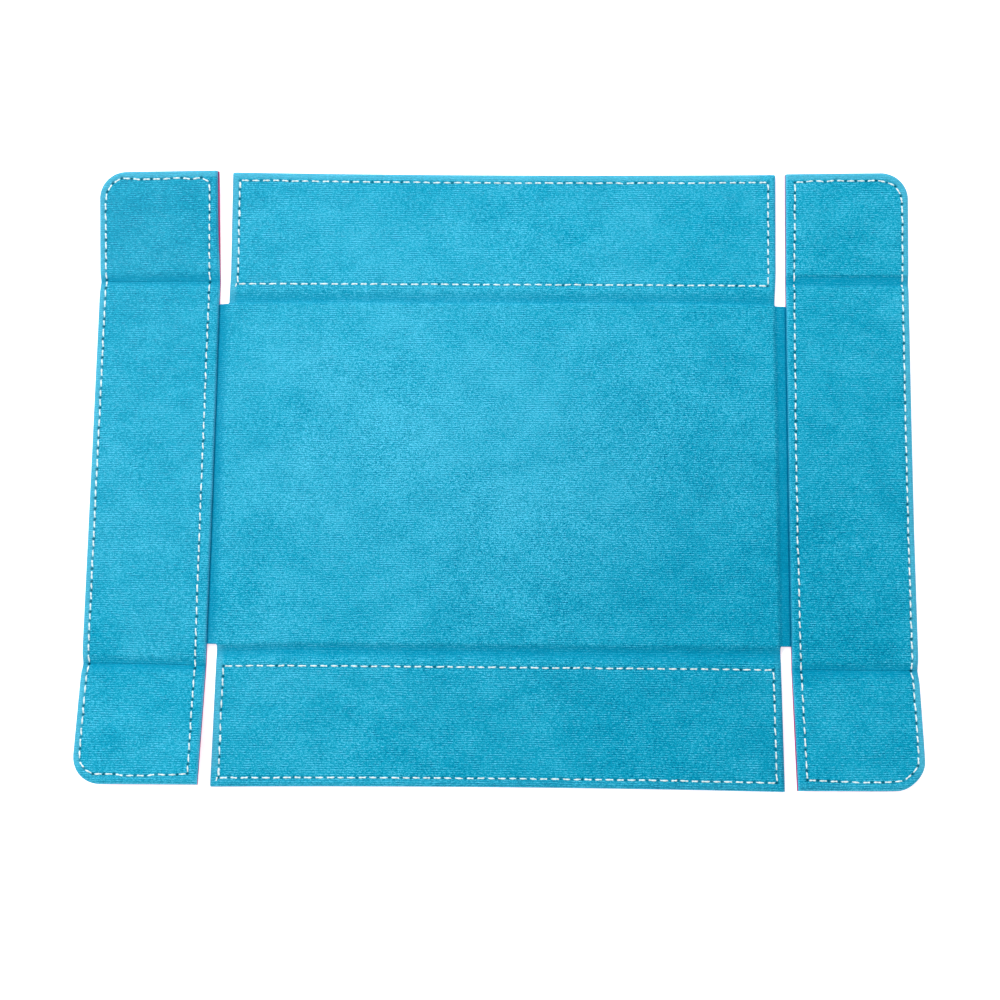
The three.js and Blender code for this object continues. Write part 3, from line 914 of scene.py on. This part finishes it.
class Nodes:
    """Short way to add and join a material's nodes."""

    def __init__(self, name):
        self.material = bpy.data.materials.new(name)
        self.material.use_nodes = True
        self.tree = self.material.node_tree
        self.shader = self.tree.nodes["Principled BSDF"]

    def add(self, kind, inputs=None, **settings):
        node = self.tree.nodes.new(kind)
        for key, value in settings.items():
            setattr(node, key, value)
        for key, value in (inputs or {}).items():
            self.put(node.inputs[key], value)
        return node

    def put(self, socket, value):
        if isinstance(value, bpy.types.NodeSocket):
            self.tree.links.new(value, socket)
        else:
            socket.default_value = value

    def fact(self, name, output="Fac"):
        return self.add("ShaderNodeAttribute", attribute_name=name).outputs[output]

    def math(self, operation, a, b=0.0, clamp=False):
        node = self.add("ShaderNodeMath", operation=operation, use_clamp=clamp)
        self.put(node.inputs[0], a)
        self.put(node.inputs[1], b)
        return node.outputs[0]

    def noise(self, vector, scale, detail=2.0, roughness=0.5):
        node = self.add("ShaderNodeTexNoise", {
            "Vector": vector, "Scale": scale, "Detail": detail, "Roughness": roughness,
        })
        return node.outputs["Fac"]

    def scaled(self, vector, scale):
        return self.add("ShaderNodeMapping", {"Vector": vector, "Scale": scale}).outputs[0]

    def ramp(self, value, stops):
        node = self.add("ShaderNodeValToRGB", {"Fac": value})
        elements = node.color_ramp.elements
        while len(elements) < len(stops):
            elements.new(0.5)
        for element, (position, color) in zip(elements, stops):
            element.position = position
            element.color = (*color, 1)
        return node.outputs["Color"]

    def mix(self, share, a, b):
        node = self.add("ShaderNodeMix", data_type="RGBA")
        self.put(node.inputs[0], share)
        for socket, value in ((node.inputs[6], a), (node.inputs[7], b)):
            self.put(socket, value if isinstance(value, bpy.types.NodeSocket) else (*value, 1))
        return node.outputs[2]

    def bump(self, height, distance, strength=1.0):
        return self.add("ShaderNodeBump", {
            "Height": height, "Distance": distance, "Strength": strength,
        }).outputs[0]

    def finish(self, color, **values):
        self.put(self.shader.inputs["Base Color"], color)
        for key, value in values.items():
            self.put(self.shader.inputs[key.replace("_", " ")], value)
        return self.material


VELVET_DARK = (0.0001, 0.109, 0.221)
VELVET_MID = (0.0015, 0.330, 0.500)
VELVET_LIGHT = (0.119, 0.600, 0.820)
# Painted shade of pressed grooves and creases.
VELVET_GROOVE_SHADE = (0.0001, 0.248, 0.415)
# Painted sheen towards the lights.
VELVET_PAINTED_SHEEN = (0.130, 0.370, 0.520)
# Painted highlight along the free edges.
VELVET_MARGIN_HIGHLIGHT = (0.115, 0.480, 0.650)
# Painted shade in the needle holes.
VELVET_HOLE_SHADE = (0.001, 0.030, 0.050)
RIB_PITCH = 0.75


def weighted(nodes, parts, middle=0.5):
    """Sum of (value, weight) parts about their own middles."""
    total = middle
    for value, weight in parts:
        part = nodes.math("MULTIPLY", nodes.math("SUBTRACT", value, 0.5), weight)
        total = nodes.math("ADD", total, part)
    return total


def rib_wave(nodes, flat):
    """Fine cross ribs, a little wavy and stronger in some places than in others."""
    height = nodes.add("ShaderNodeSeparateXYZ", {"Vector": flat}).outputs["Y"]
    drift = nodes.noise(nodes.scaled(flat, (0.05, 0.05, 0.05)), 1.0, 2.0)
    phase = nodes.math("ADD", nodes.math("MULTIPLY", height, math.tau / RIB_PITCH),
                       nodes.math("MULTIPLY", drift, 9.0))
    strength = nodes.noise(nodes.scaled(flat, (0.45, 0.9, 0.45)), 1.0, 2.0)
    strength = nodes.math("MULTIPLY", nodes.math("SUBTRACT", strength, 0.32), 3.0, clamp=True)
    return nodes.math("ADD", nodes.math("MULTIPLY", nodes.math("SINE", phase), strength), 0.5)


def painted_sheen(nodes, flat, clouds):
    """Painted sheen: a pale haze strongest at the left and the back, towards the lights."""
    split = nodes.add("ShaderNodeSeparateXYZ", {"Vector": flat})
    sheen_paint = nodes.math("MULTIPLY", split.outputs["X"], -0.42 / HALF_LENGTH)
    sheen_paint = nodes.math("ADD", sheen_paint, nodes.math("MULTIPLY", split.outputs["Y"], 0.26 / HALF_DEPTH))
    sheen_paint = weighted(nodes, [(clouds, 1.2)], sheen_paint)
    return nodes.math("MULTIPLY", sheen_paint, 0.12, clamp=True)


def velvet_material():
    """Short-pile velvet: fine cross ribs, brushed patches, pressed grooves with painted shade,
    painted highlights on margins and edges, painted sheen, painted light patches and painted shade
    in needle holes.
    """
    nodes = Nodes("velvet")
    flat = nodes.fact("flat_mm", "Vector")
    clouds = nodes.noise(nodes.scaled(flat, (0.035, 0.045, 0.035)), 1.0, 3.0, 0.55)
    brushed = nodes.noise(nodes.scaled(flat, (0.11, 0.16, 0.11)), 1.0, 3.0, 0.5)
    streaks = nodes.noise(nodes.scaled(flat, (1.2, 2.6, 1.2)), 1.0, 1.0, 0.5)
    pile = nodes.noise(nodes.scaled(flat, (3.7, 4.2, 3.7)), 1.0, 1.5, 0.65)
    ribs = rib_wave(nodes, flat)
    coarseness = nodes.math("MULTIPLY", nodes.fact("grain"), 2.15)
    tone = weighted(nodes, [
        (clouds, 0.25), (brushed, 0.25), (streaks, 0.85), (pile, coarseness), (ribs, 0.24),
    ])
    # Painted highlight along the cut edges.
    tone = nodes.math("ADD", tone, nodes.math("MULTIPLY", nodes.fact("edge"), 0.2))
    # Painted shade in pressed grooves and creases.
    tone = nodes.math("SUBTRACT", tone, nodes.math("MULTIPLY", nodes.fact("pressed"), 0.08))
    # Painted light and shade patches.
    tone = nodes.math("ADD", tone, nodes.fact("lie"))
    color = nodes.ramp(tone, [(0.0, VELVET_DARK), (0.5, VELVET_MID), (1.0, VELVET_LIGHT)])
    # Painted highlight outside the seams.
    color = nodes.mix(nodes.math("MULTIPLY", nodes.fact("margin_highlight"), 0.42), color, VELVET_MARGIN_HIGHLIGHT)
    # Painted sheen towards the lights.
    color = nodes.mix(painted_sheen(nodes, flat, clouds), color, VELVET_PAINTED_SHEEN)
    # Painted shade in pressed grooves and creases.
    groove = nodes.math("MULTIPLY", nodes.fact("pressed"), 0.85, clamp=True)
    color = nodes.mix(groove, color, VELVET_GROOVE_SHADE)
    # Painted shade in the needle holes.
    color = nodes.mix(nodes.fact("hole"), color, VELVET_HOLE_SHADE)
    relief = weighted(nodes, [(ribs, 0.28), (streaks, 0.5), (pile, 1.0)])
    normal = nodes.bump(relief, 0.0001, 0.7)
    rough = nodes.math("ADD", 0.46, nodes.math("MULTIPLY", nodes.fact("pressed"), 0.5), clamp=True)
    return nodes.finish(color, Roughness=rough, Normal=normal, Sheen_Weight=0.008,
                        Sheen_Roughness=0.5, Sheen_Tint=(0.4, 0.9, 1.0, 1.0),
                        Specular_IOR_Level=0.02)


def leather_material():
    """Satin crimson-pink synthetic leather with a fine pebble grain and a duller cut edge."""
    nodes = Nodes("leather")
    flat = nodes.fact("flat_mm", "Vector")
    cells = nodes.add("ShaderNodeTexVoronoi", {"Vector": flat, "Scale": 1.15},
                      feature="DISTANCE_TO_EDGE").outputs["Distance"]
    grain = nodes.math("MINIMUM", nodes.math("MULTIPLY", cells, 5.0), 1.0)
    clouds = nodes.noise(flat, 0.06, 3.0)
    fine = nodes.noise(flat, 2.4, 2.0)
    tone = weighted(nodes, [(clouds, 0.5), (grain, 0.35), (fine, 0.3)])
    color = nodes.ramp(tone, [(0.1, (0.40, 0.018, 0.11)), (0.55, (0.56, 0.034, 0.18)),
                              (0.95, (0.68, 0.06, 0.25))])
    color = nodes.mix(nodes.math("MULTIPLY", nodes.fact("cut"), 0.6), color, (0.60, 0.045, 0.20))
    relief = weighted(nodes, [(grain, 0.8), (fine, 0.5)])
    rough = nodes.math("ADD", 0.36, nodes.math("MULTIPLY", fine, 0.22))
    return nodes.finish(color, Roughness=rough, Normal=nodes.bump(relief, 0.00016, 0.8),
                        Specular_IOR_Level=0.45)


def thread_material():
    """Twisted ivory polyester thread."""
    nodes = Nodes("thread")
    flat = nodes.fact("flat_mm", "Vector")
    fibres = nodes.noise(nodes.scaled(flat, (5.0, 5.0, 9.0)), 1.0, 2.0)
    tone = weighted(nodes, [(fibres, 0.6), (nodes.fact("strand"), 0.25)])
    color = nodes.ramp(tone, [(0.1, (0.58, 0.72, 0.70)), (0.5, (0.76, 0.88, 0.86)),
                              (0.9, (0.87, 0.95, 0.93))])
    return nodes.finish(color, Roughness=0.55, Normal=nodes.bump(fibres, 0.00008, 0.7),
                        Sheen_Weight=0.2, Specular_IOR_Level=0.4)


def board_material():
    """Grey pressed bookbinder's board with flecks."""
    nodes = Nodes("board")
    place = nodes.add("ShaderNodeTexCoord").outputs["Object"]
    flecks = nodes.noise(nodes.scaled(place, (900, 900, 3000)), 1.0, 4.0, 0.7)
    clouds = nodes.noise(place, 60.0, 3.0)
    tone = weighted(nodes, [(flecks, 0.7), (clouds, 0.5)])
    color = nodes.ramp(tone, [(0.1, (0.17, 0.15, 0.12)), (0.5, (0.27, 0.24, 0.19)),
                              (0.9, (0.38, 0.34, 0.28))])
    return nodes.finish(color, Roughness=0.9, Normal=nodes.bump(flecks, 0.0001, 0.6))


def magnet_material():
    """Nickel plating with fine scuffs."""
    nodes = Nodes("magnet")
    place = nodes.add("ShaderNodeTexCoord").outputs["Object"]
    scuffs = nodes.noise(nodes.scaled(place, (4000, 600, 600)), 1.0, 3.0, 0.6)
    color = nodes.ramp(scuffs, [(0.2, (0.50, 0.50, 0.49)), (0.8, (0.68, 0.68, 0.66))])
    rough = nodes.math("ADD", 0.16, nodes.math("MULTIPLY", scuffs, 0.2))
    return nodes.finish(color, Roughness=rough, Metallic=1.0,
                        Normal=nodes.bump(scuffs, 0.00002, 0.5))


# -------- assembly

def build_tray():
    """Every visible piece, each on its body or fold."""
    velvet, leather, thread = velvet_material(), leather_material(), thread_material()
    made = {}
    for name, piece in panels().items():
        for layer, skin in (
            ("velvet", velvet_piece(f"{name}_velvet_pad", piece, velvet, pocket=name)),
            ("leather", leather_piece(f"{name}_leather_skin", piece, leather)),
        ):
            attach(skin, name)
            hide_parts(f"{name}_{layer}")
            made[name, layer] = skin
    for name, piece in grooves().items():
        for layer, skin in (
            ("velvet", velvet_piece(f"{name}_velvet_web", piece, velvet)),
            ("leather", leather_piece(f"{name}_leather_web", piece, leather)),
        ):
            bend(skin, *piece["joins"])
            made[name, layer] = skin
    for layer in ("needle", "bobbin"):
        for end, facts in LONG_SEAMS.items():
            for piece in sew(facts, f"{end}_wall", layer, thread):
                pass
        for side, facts in SIDE_SEAMS.items():
            for piece in sew(facts, f"{side}_wall", layer, thread):
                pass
    return made


def finish_inner_nodes():
    """Boards and magnets stay as the frame has them, with a proper finish."""
    finishes = {"_board": board_material(), "_magnet": magnet_material()}
    for name, node in frame["nodes"].items():
        for ending, material in finishes.items():
            if name.endswith(ending):
                node.data.materials.clear()
                node.data.materials.append(material)


# -------- floor, light and camera

CAMERA_DISTANCE = 450.0    # from the point that it looks at
CAMERA_LENS = 47.44
CAMERA_TARGET = (0.31, -9.49, 0.0)
CAMERA_TURN = 8.77         # degrees round the tray, from its front
CAMERA_FROM_PLUMB = 7.26   # degrees off straight down
CAMERA_ROLL = -8.31


def make_camera():
    """A camera almost straight above the tray, a little to its front."""
    turn = Matrix.Rotation(math.radians(CAMERA_TURN), 3, "Z")
    turn @= Matrix.Rotation(math.radians(CAMERA_FROM_PLUMB), 3, "X")
    turn @= Matrix.Rotation(math.radians(CAMERA_ROLL), 3, "Z")
    place = Vector(CAMERA_TARGET) + turn @ Vector((0, 0, CAMERA_DISTANCE))
    data = bpy.data.cameras.new("camera")
    data.lens = CAMERA_LENS
    data.sensor_width = 36
    camera = bpy.data.objects.new("camera", data)
    camera.matrix_world = Matrix.Translation(place * MM) @ turn.to_4x4()
    bpy.context.scene.collection.objects.link(camera)
    bpy.context.scene.camera = camera


FLOOR_HALF = 2.5           # metres, like the lights below
FLOOR_Z = -0.0001
SQUARE = ((-1, -1), (1, -1), (1, 1), (-1, 1))


def make_floor():
    """A plain white table top that stays bright between the tray's parts."""
    nodes = Nodes("floor")
    nodes.finish((0.9, 0.9, 0.9, 1.0), Roughness=0.8, Specular_IOR_Level=0.1,
                 Emission_Color=(1.0, 1.0, 1.0, 1.0), Emission_Strength=0.6)
    mesh = bpy.data.meshes.new("floor_stage")
    corners = [(x * FLOOR_HALF, y * FLOOR_HALF, FLOOR_Z) for x, y in SQUARE]
    mesh.from_pydata(corners, [], [(0, 1, 2, 3)])
    mesh.materials.append(nodes.material)
    floor = bpy.data.objects.new("floor_stage", mesh)
    bpy.context.scene.collection.objects.link(floor)


def area_light(name, place, size, power, color):
    """A square soft light that faces the tray."""
    data = bpy.data.lights.new(name, "AREA")
    data.size = size
    data.energy = power
    data.color = color
    light = bpy.data.objects.new(name, data)
    light.location = place
    light.rotation_euler = Vector(place).to_track_quat("Z", "Y").to_euler()
    bpy.context.scene.collection.objects.link(light)


# Each light's name, place, size, power and colour.
LIGHTS = (
    ("key", (-0.50, 0.17, 0.86), 0.5, 4.6, (1.0, 1.0, 1.0)),
    ("back", (-0.10, 0.72, 0.66), 0.6, 4.6, (1.0, 1.0, 1.0)),
    ("fill", (0.9, -0.8, 1.1), 1.4, 2.0, (0.97, 0.99, 1.0)),
)
TENT_COLOR = (0.97, 0.985, 1.0, 1.0)
TENT_FADE = (0.5, 0.86, 1.16, 0.1)   # height of the fade's start and end, brightness there


def make_light():
    """Soft lights from the left and the back, and a studio tent that is darker overhead."""
    for light in LIGHTS:
        area_light(*light)
    world = bpy.data.worlds.new("studio")
    world.use_nodes = True
    tree = world.node_tree
    sky = tree.nodes["Background"]
    sky.inputs["Color"].default_value = TENT_COLOR
    place = tree.nodes.new("ShaderNodeTexCoord").outputs["Generated"]
    split = tree.nodes.new("ShaderNodeSeparateXYZ")
    fade = tree.nodes.new("ShaderNodeMapRange")
    fade.interpolation_type = "SMOOTHSTEP"
    for socket, value in zip(("From Min", "From Max", "To Min", "To Max"), TENT_FADE):
        fade.inputs[socket].default_value = value
    tree.links.new(place, split.inputs[0])
    tree.links.new(split.outputs["Z"], fade.inputs["Value"])
    tree.links.new(fade.outputs[0], sky.inputs["Strength"])
    scene = bpy.context.scene
    scene.world = world
    scene.view_settings.view_transform = "Standard"


make_camera()
make_floor()
make_light()
pieces = build_tray()
finish_inner_nodes()
